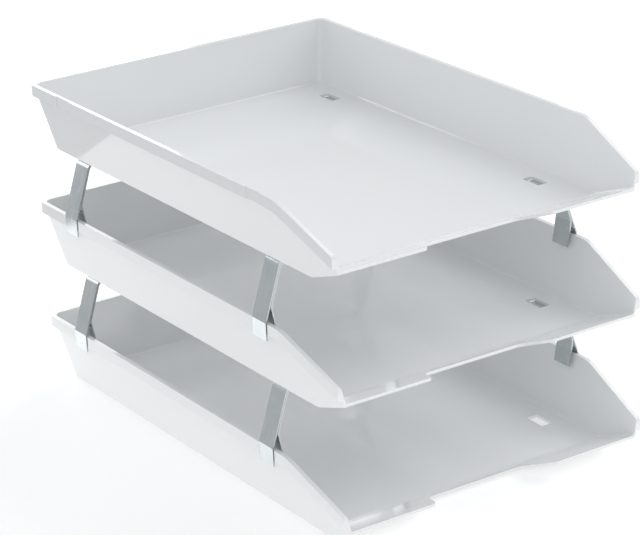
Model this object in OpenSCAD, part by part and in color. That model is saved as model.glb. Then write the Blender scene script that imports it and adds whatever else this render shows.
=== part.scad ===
// Three-tier letter tray: three identical front-loading trays, held apart by
// eight folded steel riser clips, two on each long rim in each gap.
// X runs across the width, Y along the length with the open front at -Y, Z up.
// The origin is on the surface the bottom tray stands on, at the middle of its outline.

/* [Tray] */
// Overall width across the two long rims
rim_w = 255; // [212:1:310]
// Overall length, from the back rim to the front edge
rim_l = 383; // [318:1:460]
// Height of one tray, underside to rim top
tray_h = 48.5; // [42:0.5:70]
// Thickness of the walls, measured level
wall_t = 1.8; // [1.4:0.1:2.4]
// Thickness of the floor
floor_t = 2.2; // [1.6:0.1:3]
// Outward lean of the walls, in degrees from upright
wall_lean = 11.7; // [8:0.05:14]
// Plan radius of the rim's two back corners
corner_r = 6; // [4:0.5:12]
// Plan radius of the wall's two back corners
tub_r = 5; // [3:0.5:10]

/* [Rim] */
// How far the rim's skirt stands out from the top of the wall's foot line
rim_step = 3.2; // [2.4:0.1:6]
// Height of the skirt
skirt_h = 8.2; // [7:0.1:12]
// Thickness of the skirt
skirt_t = 1.6; // [1.2:0.1:2]
// Thickness of the flat top of the rim
rim_t = 1.8; // [1.4:0.1:2.4]

/* [Front] */
// Length over which each side slopes down to the front
slope_l = 59; // [40:1:90]
// Radius of the bend between the level rim and the slope
slope_bend_r = 26; // [5:1:40]
// Height of each side at the front end
nose_h = 25; // [22:0.5:30]
// Length of the ramp that turns the floor up at the front
ramp_l = 34; // [28:1:45]
// Height that the ramp gains
ramp_h = 12; // [6:0.5:14]
// Radius of the bend between the floor and the ramp
ramp_bend_r = 20; // [5:1:24]
// Width of the finger cut-out at the front edge
cutout_front_w = 104; // [80:1:130]
// Width of the finger cut-out at its inner end
cutout_back_w = 72; // [50:1:78]
// Depth of the finger cut-out
cutout_l = 25; // [12:1:27]
// Rounding of each side's top corner at the front end, seen from the side
nose_r = 3.5; // [1:0.5:6]
// Thickness of the web that closes the rim at the front end
nose_web = 2; // [1.2:0.1:3]

/* [Risers] */
// Clear height between one rim and the tray above it
riser_h = 41; // [32:1:60]
// Width of the steel strip
strip_w = 16.5; // [12:0.1:20]
// Thickness of the steel strip
strip_t = 1; // [0.8:0.1:1.2]
// Inward lean of the strap, in degrees from upright
strap_lean = 18.5; // [14:0.5:20]
// How far the outer leg reaches below the rim top
outer_leg = 12; // [10:0.5:16]
// How far the inner leg reaches below the rim top
inner_leg = 8; // [5:0.5:12]
// Height above the rim at which the two layers part
split_h = 11; // [8:0.5:14]
// Height above the rim at which the inner leg turns down
lip_h = 4; // [2:0.5:5]
// Distance from the back rim to the middle of the rear risers
rear_riser = 50.5; // [40:0.5:80]
// Distance from the front edge to the middle of the front risers
front_riser = 81.5; // [72:0.5:110]
// Height of the folded tongue that stands up in the floor slot
tongue_h = 1.5; // [1.4:0.1:1.6]

/* [Slots and seats] */
// Size of a floor slot across the tray
slot_w = 8.5; // [7:0.5:14]
// Distance from the edge of the floor to the middle of a slot
slot_inset = 17.5; // [16:0.5:26]
// Depth of the seat let into the skirt for an outer leg
seat_d = 0.8; // [0.5:0.1:1]
// Clearance along the tray on each side of a strip in its slot
slot_gap = 0.5; // [0.4:0.1:1]
// Clearance between the tongue and the inner end of its slot
tongue_gap = 1.1; // [0.8:0.1:1.5]
// Clearance along the tray on each side of a strip in its seat
seat_gap = 1; // [0.5:0.1:2]
// Clearance between the outer leg and its seat
outer_gap = 0.3; // [0.2:0.05:0.6]
// Clearance between the inner leg and the wall
inner_gap = 2.8; // [0.5:0.1:3]

/* [Hidden] */

pitch = tray_h + riser_h;
half_w = rim_w / 2;
half_l = rim_l / 2;
lean = tan(wall_lean);
// Half width of the wall's outer face at the underside and at the rim top
foot_half = half_w - rim_step - (tray_h - skirt_h) * lean;
top_half = foot_half + tray_h * lean;
// How far the foot stands in from the rim, the same at the sides and the back
foot_in = half_w - foot_half;
nose_in = (tray_h - nose_h) * lean;
slope_y = -half_l + slope_l;
ramp_y = -half_l + ramp_l;
rear_y = half_l - rear_riser;
front_y = -half_l + front_riser;
slot_x = foot_half - slot_inset;
slot_l = strip_w + 2 * slot_gap;
seat_w = strip_w + 2 * seat_gap;
// Length by which cutting and filling bodies run past the tray
past = 20;
// Overlap of bodies that are joined, and reach of small cuts past a face
spare = 1;
sliver = 0.01;
// Numbers of straight steps that stand for curves
bend_steps = 6;
fold_steps = 12;
cutout_steps = 12;

// Gap between the two layers of a folded strip
layer_gap = 0.15;
layer_step = strip_t + layer_gap;
leg_x = half_w - seat_d + outer_gap + strip_t / 2;
knee_h = 0.5;
knee_r = 2;
bend_r = 6;
fold_r = layer_step / 2;
toe_r = 0.6 * strip_t;
part_r = 3;
// Middle lines of the upper and lower layers of the tab
tab_z = tray_h + riser_h - strip_t / 2;
low_tab_z = tab_z - layer_step;
tongue_z = tray_h + riser_h + tongue_h - strip_t / 2;
tongue_x = slot_x - slot_w / 2 + tongue_gap + layer_step + strip_t / 2;

plastic_colour = [0.93, 0.93, 0.93];
steel_colour = [0.66, 0.68, 0.69];

// ---- helpers ----

function unit(v) = v / norm(v);
function turned(v, a) = [v[0] * cos(a) - v[1] * sin(a), v[0] * sin(a) + v[1] * cos(a)];
function cross2(a, b) = a[0] * b[1] - a[1] * b[0];
function reverse(list) = [for (i = [len(list) - 1:-1:0]) list[i]];
// Half width of the inner wall face at height z
function inner_half(z) = foot_half + z * lean - wall_t;

// An arc of radius r in place of the corner b between a and c, in n steps
function rounded(a, b, c, r, n) =
    let (
        u = unit(a - b),
        w = unit(c - b),
        open = acos(u * w),
        centre = b + unit(u + w) * r / sin(open / 2),
        start = b + u * r / tan(open / 2) - centre,
        swing = sign(cross2(b - a, c - b)) * (180 - open)
    )
    [for (i = [0:n]) centre + turned(start, swing * i / n)];

// A polyline whose inner corners are rounded: p are the corners and r their radii
function bent_line(p, r) = [
    for (i = [0:len(p) - 1])
        each (i == 0 || i == len(p) - 1) ? [p[i]] : rounded(p[i - 1], p[i], p[i + 1], r[i], bend_steps)
];

// The direction square to a line at point i
function normal_at(p, i) =
    let (
        before = i > 0 ? unit(p[i] - p[i - 1]) : unit(p[1] - p[0]),
        after = i < len(p) - 1 ? unit(p[i + 1] - p[i]) : before,
        along = unit(before + after)
    )
    [-along[1], along[0]] / (along * before);

// The outline of a strip of thickness t that follows line p
function strip_outline(p, t) = concat(
    [for (i = [0:len(p) - 1]) p[i] + normal_at(p, i) * t / 2],
    [for (i = [len(p) - 1:-1:0]) p[i] - normal_at(p, i) * t / 2]
);

// ---- tray ----

// Plan of a tray: straight sides, two round back corners, open past the front
module plan(side, back, r) {
    translate([-side, -half_l - past])
        square([2 * side, half_l + past + back - r]);
    translate([-side + r, back - r - spare])
        square([2 * (side - r), r + spare]);
    for (s = [-1, 1])
        translate([s * (side - r), back - r])
            circle(r, $fn = 48);
}

// A tapering tub; inset moves all its walls inwards
module tub(inset) {
    hull() {
        linear_extrude(sliver)
            plan(foot_half - inset, half_l - foot_in - inset, tub_r);
        translate([0, 0, tray_h + spare - sliver])
            linear_extrude(sliver)
                plan(
                    top_half + spare * lean - inset,
                    half_l - half_w + top_half + spare * lean - inset,
                    tub_r
                );
    }
}

// A side view, given as [y, z] points, run across the whole width
module across(side_view) {
    rotate([90, 0, 90])
        linear_extrude(2 * half_w + 2 * past, center = true)
            polygon(side_view);
}

// The line of the rim's top from the back to the front end, as [y, z]
function rim_line() = bent_line(
    [[half_l, tray_h], [slope_y, tray_h], [-half_l, nose_h]],
    [0, slope_bend_r, 0]
);

// The slope and the ramp seen from the side, outside the plastic
module outside_profile() {
    underside = bent_line(
        [[half_l + past, 0], [ramp_y, 0], [-half_l, ramp_h]],
        [0, ramp_bend_r + floor_t, 0]
    );
    across(concat(underside, reverse(rim_line()), [[half_l + past, tray_h]]));
}

// The hollow seen from the side, above the floor and the ramp
module inside_profile() {
    ramp_rise = ramp_h / ramp_l;
    floor_line = bent_line(
        [
            [half_l + past, floor_t],
            [ramp_y, floor_t],
            [-half_l - past, floor_t + ramp_rise * (ramp_l + past)]
        ],
        [0, ramp_bend_r, 0]
    );
    top = tray_h + past;
    across(concat(floor_line, [[-half_l - past, top], [half_l + past, top]]));
}

// A bar that follows the rim's line on the +X side. Its section is depth_x by
// depth_z, and it keeps to the lean of the wall as the line goes down.
module rim_bar(depth_x, depth_z) {
    sections = concat(
        [[slope_y + past, tray_h]],
        [for (p = rim_line()) if (p[0] < slope_y + past) p]
    );
    corners = [
        for (p = sections)
            let (x = half_w - (tray_h - p[1]) * lean)
            each [
                [x - depth_x, p[0], p[1] - depth_z],
                [x, p[0], p[1] - depth_z],
                [x, p[0], p[1]],
                [x - depth_x, p[0], p[1]]
            ]
    ];
    last = len(sections) - 1;
    polyhedron(
        corners,
        concat(
            [[0, 1, 2, 3]],
            [
                for (i = [0:last - 1], k = [0:3])
                    [
                        4 * i + k,
                        4 * (i + 1) + k,
                        4 * (i + 1) + (k + 1) % 4,
                        4 * i + (k + 1) % 4
                    ]
            ],
            [[for (k = [3:-1:0]) 4 * last + k]]
        )
    );
}

// The rim: a flat top and a hanging skirt along the level part, and both again
// down each slope
module rim() {
    intersection() {
        union() {
            translate([0, 0, tray_h - rim_t])
                linear_extrude(rim_t)
                    plan(half_w, half_l, corner_r);
            translate([0, 0, tray_h - skirt_h])
                linear_extrude(skirt_h)
                    difference() {
                        plan(half_w, half_l, corner_r);
                        plan(half_w - skirt_t, half_l - skirt_t, corner_r - skirt_t);
                    }
        }
        translate([-half_w - past, slope_y + past / 2, 0])
            cube([2 * (half_w + past), rim_l, tray_h + past]);
    }
    for (s = [0, 1])
        mirror([s, 0, 0]) {
            rim_bar(skirt_t, skirt_h);
            rim_bar(rim_step + wall_t, rim_t);
            intersection() {
                rim_bar(rim_step + wall_t, skirt_h);
                translate([0, -half_l - past, 0])
                    cube([half_w + past, past + nose_web, tray_h]);
            }
        }
}

// What is taken off the top corner of each side at the front end
module nose_cut() {
    along = unit([slope_l, tray_h - nose_h]);
    corner = [-half_l, nose_h];
    arc = rounded(corner + along, corner, corner - [0, 1], nose_r, bend_steps);
    across(concat(
        arc,
        [
            [-half_l - spare, arc[bend_steps][1]],
            [-half_l - spare, nose_h + nose_r],
            [arc[0][0], nose_h + nose_r]
        ]
    ));
}

// Where something repeats at all four risers of one level
module at_risers() {
    for (s = [0, 1], y = [front_y, rear_y])
        mirror([s, 0, 0])
            translate([0, y, 0])
                children();
}

// Solid backing between wall and skirt behind a seat
module seat_pad() {
    translate([half_w - rim_step - wall_t, -seat_w / 2, tray_h - skirt_h])
        cube([rim_step + wall_t, seat_w, skirt_h]);
}

module seat_cut() {
    translate([half_w - seat_d, -seat_w / 2, tray_h - skirt_h - spare])
        cube([seat_d + spare, seat_w, skirt_h + 2 * spare]);
}

module slot_cut() {
    translate([slot_x - slot_w / 2, -slot_l / 2, -spare])
        cube([slot_w, slot_l, floor_t + 2 * spare]);
}

// One end of the cut-out is an S: from the front edge in to full depth
function cutout_edge(s) = [
    for (i = [0:cutout_steps])
        let (done = i / cutout_steps)
        [
            s * (cutout_front_w + (cutout_back_w - cutout_front_w) * done) / 2,
            -half_l + cutout_l * (1 - cos(180 * done)) / 2
        ]
];

module cutout() {
    translate([0, 0, -spare])
        linear_extrude(nose_h)
            polygon(concat(
                [[cutout_front_w / 2, -half_l - past]],
                cutout_edge(1),
                reverse(cutout_edge(-1)),
                [[-cutout_front_w / 2, -half_l - past]]
            ));
}

module tray(level) {
    color(plastic_colour)
        translate([0, 0, level * pitch])
            difference() {
                union() {
                    intersection() {
                        tub(0);
                        outside_profile();
                    }
                    rim();
                    at_risers() seat_pad();
                }
                intersection() {
                    tub(wall_t);
                    inside_profile();
                }
                at_risers() seat_cut();
                at_risers() slot_cut();
                cutout();
                nose_cut();
            }
}

// ---- riser clip ----

// The bent line of the strip on the +X side, as [x, z], from the tip of the outer
// leg up the strap, in along the tab, over the tongue, back and down to the inner leg
function riser_line() =
    let (
        tip = [leg_x, tray_h - outer_leg],
        knee = [leg_x, tray_h + knee_h],
        shoulder = [leg_x - (tab_z - knee[1]) * tan(strap_lean), tab_z],
        toe = [tongue_x, tab_z],
        fold = [tongue_x - fold_r, tongue_z - fold_r],
        heel = [tongue_x - layer_step, low_tab_z],
        to_knee = unit(knee - shoulder),
        to_toe = unit(toe - shoulder),
        open = acos(to_knee * to_toe),
        armpit = shoulder + unit(to_knee + to_toe) * layer_step / sin(open / 2),
        parting = armpit + to_knee * (armpit[1] - tray_h - split_h) / -to_knee[1],
        leg_in = (inner_gap + strip_t / 2) / cos(wall_lean),
        lip = [inner_half(tray_h + lip_h) - leg_in, tray_h + lip_h],
        inner_tip = [inner_half(tray_h - inner_leg) - leg_in, tray_h - inner_leg]
    )
    concat(
        bent_line(
            [tip, knee, shoulder, toe, fold + [fold_r, 0]],
            [0, knee_r, bend_r, toe_r, 0]
        ),
        [for (i = [1:fold_steps - 1]) fold + turned([fold_r, 0], 180 * i / fold_steps)],
        bent_line(
            [fold - [fold_r, 0], heel, armpit, parting, lip, inner_tip],
            [0, toe_r + layer_step, bend_r - layer_step, part_r, part_r, 0]
        )
    );

module riser(level, side, y) {
    color(steel_colour)
        translate([0, y, level * pitch])
            mirror([side < 0 ? 1 : 0, 0, 0])
                rotate([90, 0, 0])
                    linear_extrude(strip_w, center = true)
                        polygon(strip_outline(riser_line(), strip_t));
}

tray(0);  // bottom_tray
tray(1);  // middle_tray
tray(2);  // top_tray
riser(0, -1, front_y);  // lower_riser_front_left
riser(0, 1, front_y);  // lower_riser_front_right
riser(0, -1, rear_y);  // lower_riser_rear_left
riser(0, 1, rear_y);  // lower_riser_rear_right
riser(1, -1, front_y);  // upper_riser_front_left
riser(1, 1, front_y);  // upper_riser_front_right
riser(1, -1, rear_y);  // upper_riser_rear_left
riser(1, 1, rear_y);  // upper_riser_rear_right
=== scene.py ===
"""Finishes for a letter tray stack: moulded white trays held apart by folded steel risers.

Run as a script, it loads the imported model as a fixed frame, rounds and finishes every
moulding and every riser on it, and sets up a pale studio with a camera.
"""

import math

import bmesh
import bpy
from bpy.props import FloatProperty, FloatVectorProperty, PointerProperty
from mathutils import Matrix, Vector


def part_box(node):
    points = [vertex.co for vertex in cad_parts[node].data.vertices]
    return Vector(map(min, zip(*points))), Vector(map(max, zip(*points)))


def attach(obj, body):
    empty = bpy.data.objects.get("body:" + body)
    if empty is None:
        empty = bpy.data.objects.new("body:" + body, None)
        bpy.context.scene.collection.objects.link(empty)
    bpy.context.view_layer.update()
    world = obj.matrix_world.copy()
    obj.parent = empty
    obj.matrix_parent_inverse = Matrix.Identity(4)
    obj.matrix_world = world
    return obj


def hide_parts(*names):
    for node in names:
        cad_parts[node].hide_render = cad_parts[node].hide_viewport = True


bl_info = {
    "name": "Letter Tray Finishes",
    "version": (1, 0, 0),
    "blender": (4, 5, 0),
    "location": "3D View > Sidebar > Letter tray",
    "description": "Rounds and finishes the trays and risers of a letter tray stack",
    "category": "Add Mesh",
}

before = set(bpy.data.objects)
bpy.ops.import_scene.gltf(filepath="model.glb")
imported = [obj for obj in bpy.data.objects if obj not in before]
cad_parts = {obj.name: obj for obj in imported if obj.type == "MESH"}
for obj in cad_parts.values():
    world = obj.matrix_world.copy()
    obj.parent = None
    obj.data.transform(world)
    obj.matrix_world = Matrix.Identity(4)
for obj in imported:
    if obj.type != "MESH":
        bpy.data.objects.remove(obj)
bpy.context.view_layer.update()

MM = 0.001
TRAYS = ("bottom", "middle", "top")
RISER_LEVELS = ("lower", "upper")
RISER_PLACES = ("front_left", "front_right", "rear_left", "rear_right")

# The inner foot line of a tray lies between these heights above its underside.
FOOT_LOWEST = 1 * MM
FOOT_HIGHEST = 16 * MM
FOOT_SEGMENTS = 4
EDGE_SEGMENTS = 2

# Edges between faces that meet at more than these angles are rounded.
FOOT_ANGLE = math.radians(40)
TRAY_EDGE_ANGLE = math.radians(38)
STRIP_EDGE_ANGLE = math.radians(60)

# Points closer than this are one point, and faces closer in angle than this are one face.
WELD = 0.002 * MM
FLAT_ANGLE = math.radians(0.4)

# A strip's face is a sheared edge when its normal points along Y by more than this.
SHEARED_NORMAL = 0.9

PLASTIC_IOR = 1.59
SURFACE_GRAIN = 0.002 * MM
FLOOR_REACH = 12.0
FLOOR_STEP = 0.5 * MM
SENSOR_WIDTH = 36
CAMERA_REACH = 50


# ---- settings ----

class TrayFinish(bpy.types.PropertyGroup):
    """How the moulded trays are rounded and coloured."""

    edge_radius: FloatProperty(
        name="Edge radius", description="Rounding of the mouldings' outer edges",
        default=0.4 * MM, min=0.1 * MM, max=0.8 * MM, precision=5, subtype="DISTANCE", unit="LENGTH",
    )
    foot_radius: FloatProperty(
        name="Foot radius", description="Fillet where the floor meets the walls",
        default=1.3 * MM, min=0.4 * MM, max=3 * MM, precision=5, subtype="DISTANCE", unit="LENGTH",
    )
    colour: FloatVectorProperty(
        name="Plastic", description="Colour of the moulded plastic",
        default=(0.865, 0.875, 0.88), min=0, max=1, size=3, subtype="COLOR",
    )
    roughness: FloatProperty(
        name="Roughness", description="Gloss of the plastic, 0 is a mirror",
        default=0.05, min=0.05, max=0.8, subtype="FACTOR",
    )


class RiserFinish(bpy.types.PropertyGroup):
    """How the folded steel strips are rounded and coloured."""

    edge_radius: FloatProperty(
        name="Edge radius", description="Rounding of the strip's sheared edges",
        default=0.12 * MM, min=0.05 * MM, max=0.3 * MM, precision=5, subtype="DISTANCE", unit="LENGTH",
    )
    colour: FloatVectorProperty(
        name="Steel", description="Colour of the brushed faces",
        default=(0.68, 0.71, 0.72), min=0, max=1, size=3, subtype="COLOR",
    )
    edge_colour: FloatVectorProperty(
        name="Sheared edge", description="Colour of the sheared edges",
        default=(0.50, 0.53, 0.54), min=0, max=1, size=3, subtype="COLOR",
    )
    roughness: FloatProperty(
        name="Roughness", description="Gloss of the brushed faces, 0 is a mirror",
        default=0.12, min=0.05, max=0.8, subtype="FACTOR",
    )


class Studio(bpy.types.PropertyGroup):
    """The floor, the lights and the camera."""

    floor_colour: FloatVectorProperty(
        name="Floor", description="Colour of the pale floor",
        default=(0.9, 0.9, 0.9), min=0, max=1, size=3, subtype="COLOR",
    )
    floor_glow: FloatProperty(
        name="Floor glow", description="Light that the floor gives off by itself, as a light table does",
        default=0.28, min=0, max=2,
    )
    mirrored_glow: FloatProperty(
        name="Mirrored glow", description="The floor's own light as polished surfaces mirror it",
        default=0.55, min=0, max=5,
    )
    sheet_back: FloatProperty(
        name="Sheet back", description="How far behind the object the glowing sheet ends",
        default=0.47, min=0.2, max=5, subtype="DISTANCE", unit="LENGTH",
    )
    sheet_left: FloatProperty(
        name="Sheet left", description="How far to the left of the object the glowing sheet ends",
        default=0.39, min=0.2, max=5, subtype="DISTANCE", unit="LENGTH",
    )
    surround: FloatProperty(
        name="Surround", description="Brightness of the room around the object",
        default=0.57, min=0, max=3,
    )
    right_light: FloatProperty(
        name="Right light",
        description="Strength of the soft light on the right, in watts on a square metre",
        default=1.39, min=0, max=20,
    )
    back_light: FloatProperty(
        name="Back light",
        description="Strength of the low soft light behind, in watts on a square metre",
        default=1.45, min=0, max=20,
    )
    front_light: FloatProperty(
        name="Front light",
        description="Strength of the soft light at the front left, in watts on a square metre",
        default=0.37, min=0, max=20,
    )
    light_spread: FloatProperty(
        name="Light spread", description="Angle that each soft light fills",
        default=math.radians(60), min=0, max=math.pi, subtype="ANGLE", unit="ROTATION",
    )
    azimuth: FloatProperty(
        name="Azimuth", description="Direction the camera looks from, 0 is straight at the open front",
        default=math.radians(-32.69), subtype="ANGLE", unit="ROTATION",
    )
    elevation: FloatProperty(
        name="Elevation", description="Height of the camera above the horizon",
        default=math.radians(21.07), subtype="ANGLE", unit="ROTATION",
    )
    roll: FloatProperty(
        name="Roll", description="Lean of the camera to one side",
        default=math.radians(-2.76), subtype="ANGLE", unit="ROTATION",
    )
    distance: FloatProperty(
        name="Distance", description="From the camera to the point it looks at",
        default=1.952, min=0.5, max=10, subtype="DISTANCE", unit="LENGTH",
    )
    focal_length: FloatProperty(
        name="Focal length", description="Lens of the camera, in millimetres on a 36 mm sensor",
        default=155.1, min=20, max=400,
    )
    aim: FloatVectorProperty(
        name="Aim", description="The point the camera looks at",
        default=(-0.001, 0.0115, 0.1068), size=3, subtype="XYZ", unit="LENGTH",
    )


# ---- node trees ----

def new_material(name):
    """A material with only a Principled shader and its output, and its node tree."""
    material = bpy.data.materials.new(name)
    material.use_nodes = True
    tree = material.node_tree
    tree.nodes.clear()
    output = tree.nodes.new("ShaderNodeOutputMaterial")
    shader = tree.nodes.new("ShaderNodeBsdfPrincipled")
    tree.links.new(shader.outputs["BSDF"], output.inputs["Surface"])
    return material, tree, shader


def place_coordinates(tree, scale):
    """Object coordinates, stretched by scale, one number for each axis."""
    where = tree.nodes.new("ShaderNodeTexCoord")
    stretch = tree.nodes.new("ShaderNodeMapping")
    stretch.inputs["Scale"].default_value = scale
    tree.links.new(where.outputs["Object"], stretch.inputs["Vector"])
    return stretch.outputs["Vector"]


def noise(tree, scale, detail=3.0, roughness=0.5, distortion=0.0):
    """A noise pattern on object coordinates. Scale is in cycles per metre along X, Y and Z."""
    pattern = tree.nodes.new("ShaderNodeTexNoise")
    pattern.inputs["Scale"].default_value = 1.0
    pattern.inputs["Detail"].default_value = detail
    pattern.inputs["Roughness"].default_value = roughness
    pattern.inputs["Distortion"].default_value = distortion
    tree.links.new(place_coordinates(tree, scale), pattern.inputs["Vector"])
    return pattern.outputs["Fac"]


def spread(tree, value, low, high, start=0.3, end=0.7):
    """Turns a pattern that runs from start to end into numbers from low to high."""
    ramp = tree.nodes.new("ShaderNodeMapRange")
    ramp.inputs["From Min"].default_value = start
    ramp.inputs["From Max"].default_value = end
    ramp.inputs["To Min"].default_value = low
    ramp.inputs["To Max"].default_value = high
    tree.links.new(value, ramp.inputs["Value"])
    return ramp.outputs["Result"]


def tint(tree, value, first, second):
    """Mixes two colours by a pattern."""
    mix = tree.nodes.new("ShaderNodeMix")
    mix.data_type = "RGBA"
    mix.inputs["A"].default_value = (*first, 1.0)
    mix.inputs["B"].default_value = (*second, 1.0)
    tree.links.new(value, mix.inputs["Factor"])
    return mix.outputs["Result"]


def bump(tree, height, distance, strength=1.0, normal=None):
    """Raises a surface by a pattern. distance is the height of the relief in metres."""
    relief = tree.nodes.new("ShaderNodeBump")
    relief.inputs["Distance"].default_value = distance
    relief.inputs["Strength"].default_value = strength
    tree.links.new(height, relief.inputs["Height"])
    if normal is not None:
        tree.links.new(normal, relief.inputs["Normal"])
    return relief.outputs["Normal"]


def shade(colour, factor):
    """A colour made lighter or darker."""
    return tuple(min(1.0, channel * factor) for channel in colour)


# ---- materials ----

def moulded_plastic(finish):
    """Glossy white moulded plastic: faint flow marks, soft waviness and fine handling scuffs."""
    material, tree, shader = new_material("Moulded_plastic")
    flow = noise(tree, (9, 5, 9), detail=3, distortion=0.6)
    darker = shade(finish.colour, 0.994)
    lighter = shade(finish.colour, 1.004)
    colour = tint(tree, spread(tree, flow, 0, 1), darker, lighter)
    tree.links.new(colour, shader.inputs["Base Color"])

    scuffs = noise(tree, (14, 11, 14), detail=3)
    gloss = spread(tree, scuffs, finish.roughness * 0.9, finish.roughness * 1.2)
    tree.links.new(gloss, shader.inputs["Roughness"])

    waves = noise(tree, (11, 8, 11), detail=0)
    wavy = bump(tree, waves, 0.12 * MM, 0.3)
    grain = noise(tree, (900, 900, 900), detail=1)
    tree.links.new(bump(tree, grain, SURFACE_GRAIN, 0.3, wavy), shader.inputs["Normal"])

    shader.inputs["IOR"].default_value = PLASTIC_IOR
    shader.inputs["Specular IOR Level"].default_value = 0.5
    return material


def brushed_steel(finish):
    """Bright strip steel, brushed along its length: fine lines, faint staining."""
    material, tree, shader = new_material("Brushed_steel")
    lines = noise(tree, (40, 2600, 40), detail=3, roughness=0.6)
    stain = noise(tree, (90, 70, 90), detail=4, distortion=0.4)
    darker = shade(finish.colour, 0.93)
    lighter = shade(finish.colour, 1.06)
    brushed = tint(tree, spread(tree, lines, 0, 1), darker, lighter)
    cool = tree.nodes.new("ShaderNodeMix")
    cool.data_type = "RGBA"
    cool.blend_type = "MULTIPLY"
    cool.inputs["B"].default_value = (0.90, 0.935, 0.94, 1.0)
    tree.links.new(spread(tree, stain, 0, 1), cool.inputs["Factor"])
    tree.links.new(brushed, cool.inputs["A"])
    tree.links.new(cool.outputs["Result"], shader.inputs["Base Color"])

    gloss = spread(tree, lines, finish.roughness * 0.75, finish.roughness * 1.4)
    tree.links.new(gloss, shader.inputs["Roughness"])
    tree.links.new(bump(tree, lines, SURFACE_GRAIN, 0.3), shader.inputs["Normal"])
    shader.inputs["Metallic"].default_value = 1.0
    return material


def sheared_steel(finish):
    """The strip's cut edges: duller and darker, torn across their thickness."""
    material, tree, shader = new_material("Sheared_steel")
    tears = noise(tree, (2600, 200, 2600), detail=5, roughness=0.7)
    darker = shade(finish.edge_colour, 0.7)
    lighter = shade(finish.edge_colour, 1.2)
    colour = tint(tree, spread(tree, tears, 0, 1), darker, lighter)
    tree.links.new(colour, shader.inputs["Base Color"])
    tree.links.new(spread(tree, tears, 0.16, 0.3), shader.inputs["Roughness"])
    tree.links.new(bump(tree, tears, 0.01 * MM, 0.3), shader.inputs["Normal"])
    shader.inputs["Metallic"].default_value = 1.0
    return material


# ---- meshes ----

def clean_copy(node):
    """A bmesh copy of a CAD node with its loose triangles joined into flat faces."""
    mesh = bmesh.new()
    mesh.from_mesh(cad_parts[node].data)
    bmesh.ops.remove_doubles(mesh, verts=mesh.verts, dist=WELD)
    bmesh.ops.dissolve_limit(
        mesh, angle_limit=FLAT_ANGLE, use_dissolve_boundaries=False,
        verts=mesh.verts, edges=mesh.edges, delimit=set(),
    )
    bmesh.ops.dissolve_degenerate(mesh, dist=WELD, edges=mesh.edges)
    return mesh


def round_edges(mesh, edges, radius, segments, slide=True):
    """Rounds the edges given. slide lets the new corners run along the edges that are not rounded."""
    bmesh.ops.bevel(
        mesh, geom=edges, offset=radius, offset_type="OFFSET", affect="EDGES",
        segments=segments, profile=0.5, clamp_overlap=True, material=-1, loop_slide=slide,
    )


def sharp_edges(mesh, angle, concave=None):
    """Edges between two faces that meet at more than angle. concave picks inner or outer corners."""
    return [
        edge for edge in mesh.edges
        if len(edge.link_faces) == 2 and edge.calc_face_angle() > angle
        and (concave is None or edge.is_convex != concave)
    ]


def add_piece(name, mesh, materials, body, replaced):
    """Makes a bmesh into a shown piece that rides on a body and stands for CAD nodes."""
    data = bpy.data.meshes.new(name)
    mesh.normal_update()
    mesh.to_mesh(data)
    mesh.free()
    data.shade_smooth()
    for material in materials:
        data.materials.append(material)
    piece = bpy.data.objects.new(name, data)
    bpy.context.scene.collection.objects.link(piece)
    even = piece.modifiers.new("Even shading", "WEIGHTED_NORMAL")
    even.mode = "FACE_AREA"
    even.weight = 60
    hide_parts(*replaced)
    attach(piece, body)
    return piece


def looking(azimuth, elevation):
    """The direction of a look down onto the object. Azimuth 0 looks at the open front."""
    return Vector((
        -math.sin(azimuth) * math.cos(elevation),
        math.cos(azimuth) * math.cos(elevation),
        -math.sin(elevation),
    ))


# ---- pieces ----

class MouldTrays(bpy.types.Operator):
    """Build the three moulded trays with rounded edges and a filleted floor"""

    bl_idname = "letter_tray.mould_trays"
    bl_label = "Mould the trays"

    def execute(self, context):
        finish = context.scene.tray_finish
        plastic = moulded_plastic(finish)
        for tray in TRAYS:
            node = f"{tray}_tray"
            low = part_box(node)[0]
            mesh = clean_copy(node)
            foot = [
                edge for edge in sharp_edges(mesh, FOOT_ANGLE, concave=True)
                if all(self.near_floor(vert.co, low) for vert in edge.verts)
            ]
            if not foot:
                raise RuntimeError(f"{node} has no edge between its floor and its walls")
            round_edges(mesh, foot, finish.foot_radius, FOOT_SEGMENTS, slide=False)
            round_edges(mesh, sharp_edges(mesh, TRAY_EDGE_ANGLE), finish.edge_radius, EDGE_SEGMENTS)
            add_piece(f"Tray_{tray}", mesh, [plastic], node, [node])
        return {"FINISHED"}

    @staticmethod
    def near_floor(point, low):
        """Whether a point is above the underside of the floor and no higher than the ramp."""
        return FOOT_LOWEST < point.z - low.z < FOOT_HIGHEST


class FoldRisers(bpy.types.Operator):
    """Build the folded steel risers with brushed faces and sheared edges"""

    bl_idname = "letter_tray.fold_risers"
    bl_label = "Fold the risers"

    def execute(self, context):
        finish = context.scene.riser_finish
        materials = [brushed_steel(finish), sheared_steel(finish)]
        for level in RISER_LEVELS:
            for place in RISER_PLACES:
                node = f"{level}_riser_{place}"
                mesh = clean_copy(node)
                for face in mesh.faces:
                    face.material_index = 1 if abs(face.normal.y) > SHEARED_NORMAL else 0
                round_edges(mesh, sharp_edges(mesh, STRIP_EDGE_ANGLE), finish.edge_radius, EDGE_SEGMENTS)
                body = f"{level}_risers"
                add_piece(f"Riser_{level}_{place}", mesh, materials, body, [node])
        return {"FINISHED"}


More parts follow.
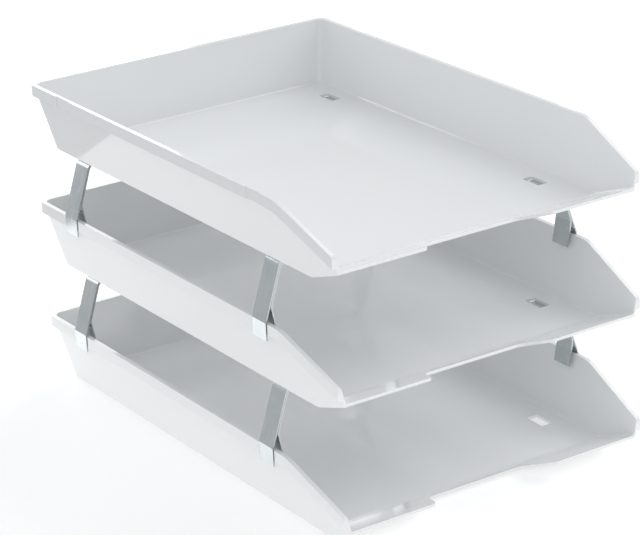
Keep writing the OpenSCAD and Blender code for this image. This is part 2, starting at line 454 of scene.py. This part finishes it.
class BuildStudio(bpy.types.Operator):
    """Set up the pale floor, the soft lights and the camera"""

    bl_idname = "letter_tray.build_studio"
    bl_label = "Build the studio"

    def execute(self, context):
        studio = context.scene.studio
        self.add_floor(studio)
        self.add_surround(context.scene, studio)
        lights = (
            ("Right", 90, 35, studio.right_light),
            ("Back", 180, 10, studio.back_light),
            ("Front", -45, 35, studio.front_light),
        )
        for name, azimuth, elevation, strength in lights:
            direction = looking(math.radians(azimuth), math.radians(elevation))
            self.add_light(name, direction, strength, studio.light_spread)
        self.add_camera(context.scene, studio)
        context.scene.view_settings.view_transform = "Standard"
        return {"FINISHED"}

    @staticmethod
    def add_floor(studio):
        """A pale sheet that the bottom tray stands on, and the same floor on into the distance."""
        material, tree, shader = new_material("Floor")
        cloud = noise(tree, (3, 3, 3), detail=2)
        colour = tint(tree, cloud, studio.floor_colour, shade(studio.floor_colour, 1.02))
        tree.links.new(colour, shader.inputs["Base Color"])
        shader.inputs["Roughness"].default_value = 0.9
        shader.inputs["Specular IOR Level"].default_value = 0.1
        shader.inputs["Emission Color"].default_value = (1.0, 0.995, 0.99, 1.0)
        path = tree.nodes.new("ShaderNodeLightPath")
        glow = spread(tree, path.outputs["Is Glossy Ray"], studio.floor_glow, studio.mirrored_glow, 0, 1)
        tree.links.new(glow, shader.inputs["Emission Strength"])
        plates = (
            ("Sheet", -studio.sheet_left, studio.sheet_back, 0.0),
            ("Distance", -FLOOR_REACH, FLOOR_REACH, -FLOOR_STEP),
        )
        for name, left, back, height in plates:
            mesh = bmesh.new()
            bmesh.ops.create_grid(mesh, x_segments=1, y_segments=1, size=FLOOR_REACH)
            for vert in mesh.verts:
                vert.co.x = max(vert.co.x, left)
                vert.co.y = min(vert.co.y, back)
                vert.co.z = height
            data = bpy.data.meshes.new(name)
            mesh.to_mesh(data)
            mesh.free()
            data.materials.append(material)
            floor = bpy.data.objects.new(name, data)
            bpy.context.scene.collection.objects.link(floor)
            if name == "Distance":
                floor.visible_diffuse = False
                floor.visible_glossy = False

    @staticmethod
    def add_surround(scene, studio):
        """An even pale room."""
        world = bpy.data.worlds.new("Surround")
        world.use_nodes = True
        background = world.node_tree.nodes["Background"]
        background.inputs["Color"].default_value = (0.96, 0.98, 1.0, 1.0)
        background.inputs["Strength"].default_value = studio.surround
        scene.world = world

    @staticmethod
    def add_light(name, direction, strength, spread_angle):
        """A wide soft light from far away that shines along a direction."""
        data = bpy.data.lights.new(name, "SUN")
        data.energy = strength
        data.angle = spread_angle
        light = bpy.data.objects.new(name, data)
        light.rotation_mode = "QUATERNION"
        light.rotation_quaternion = (-direction).to_track_quat("Z", "Y")
        bpy.context.scene.collection.objects.link(light)

    @staticmethod
    def add_camera(scene, studio):
        """The camera, aimed by azimuth, elevation and roll round the aim point."""
        data = bpy.data.cameras.new("Camera")
        data.lens = studio.focal_length
        data.sensor_width = SENSOR_WIDTH
        data.clip_end = CAMERA_REACH
        ahead = looking(studio.azimuth, studio.elevation)
        right = Vector((math.cos(studio.azimuth), math.sin(studio.azimuth), 0))
        up = right.cross(ahead)
        axes = Matrix((right, up, -ahead)).transposed().to_4x4()
        camera = bpy.data.objects.new("Camera", data)
        place = Matrix.Translation(Vector(studio.aim) - ahead * studio.distance)
        camera.matrix_world = place @ axes @ Matrix.Rotation(studio.roll, 4, "Z")
        scene.collection.objects.link(camera)
        scene.camera = camera


class LetterTrayPanel(bpy.types.Panel):
    """Lists the pieces and the stage"""

    bl_idname = "VIEW3D_PT_letter_tray"
    bl_label = "Letter tray"
    bl_space_type = "VIEW_3D"
    bl_region_type = "UI"
    bl_category = "Letter tray"

    def draw(self, context):
        scene = context.scene
        for settings in (scene.tray_finish, scene.riser_finish, scene.studio):
            box = self.layout.box()
            for prop in settings.bl_rna.properties:
                if prop.identifier not in ("rna_type", "name"):
                    box.prop(settings, prop.identifier)
        for operator in OPERATORS:
            self.layout.operator(operator.bl_idname)


SETTINGS = {"tray_finish": TrayFinish, "riser_finish": RiserFinish, "studio": Studio}
OPERATORS = (MouldTrays, FoldRisers, BuildStudio)


def register():
    for name, group in SETTINGS.items():
        bpy.utils.register_class(group)
        setattr(bpy.types.Scene, name, PointerProperty(type=group))
    for cls in (*OPERATORS, LetterTrayPanel):
        bpy.utils.register_class(cls)


def unregister():
    for cls in (LetterTrayPanel, *reversed(OPERATORS)):
        bpy.utils.unregister_class(cls)
    for name, group in reversed(SETTINGS.items()):
        delattr(bpy.types.Scene, name)
        bpy.utils.unregister_class(group)


def main():
    register()
    bpy.ops.letter_tray.mould_trays()
    bpy.ops.letter_tray.fold_risers()
    bpy.ops.letter_tray.build_studio()


if __name__ == "__main__":
    main()
